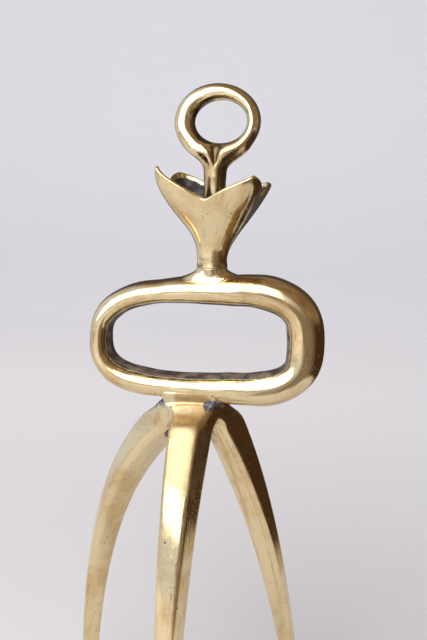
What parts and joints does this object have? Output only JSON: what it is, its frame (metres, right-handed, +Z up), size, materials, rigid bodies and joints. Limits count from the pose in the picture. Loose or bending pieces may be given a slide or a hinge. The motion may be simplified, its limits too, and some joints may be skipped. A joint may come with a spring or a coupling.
{
  "type": "souvenir bottle opener",
  "caption": "Standing cast-brass figure: an oblong opener loop on a curved tripod, topped by a four-cornered collar cup and a ring head",
  "frame": {"origin": "middle of the whole figure's footprint box, on the floor plane under the feet", "axes": "+Z up, the long direction; +Y to the back, the thin direction of the opener loop, so the loop's open face looks along -Y; +X to the figure's right as seen from the front"},
  "size_m": [0.0933, 0.0639, 0.2243],
  "materials": {
    "polished_brass": "polished cast brass with soft scratches and a few casting pits; inner faces of the loop left dark and unpolished",
    "cup_brass": "polished outside, dull grey-brown as cast inside",
    "brass_rod": "plain drawn rod, hidden in the joints",
    "silver_solder": null
  },
  "bodies": {
    "root": {"head_ring": "polished_brass", "collar_cup": "cup_brass", "opener_loop": "polished_brass", "leg_hub": "polished_brass", "leg_front": "polished_brass", "leg_right": "polished_brass", "leg_left": "polished_brass", "neck_stud": "brass_rod", "hub_stud": "brass_rod", "leg_dowels": "brass_rod", "neck_solder": "silver_solder", "hub_solder": "silver_solder", "stem_solder": "silver_solder"}
  },
  "joints": []
}
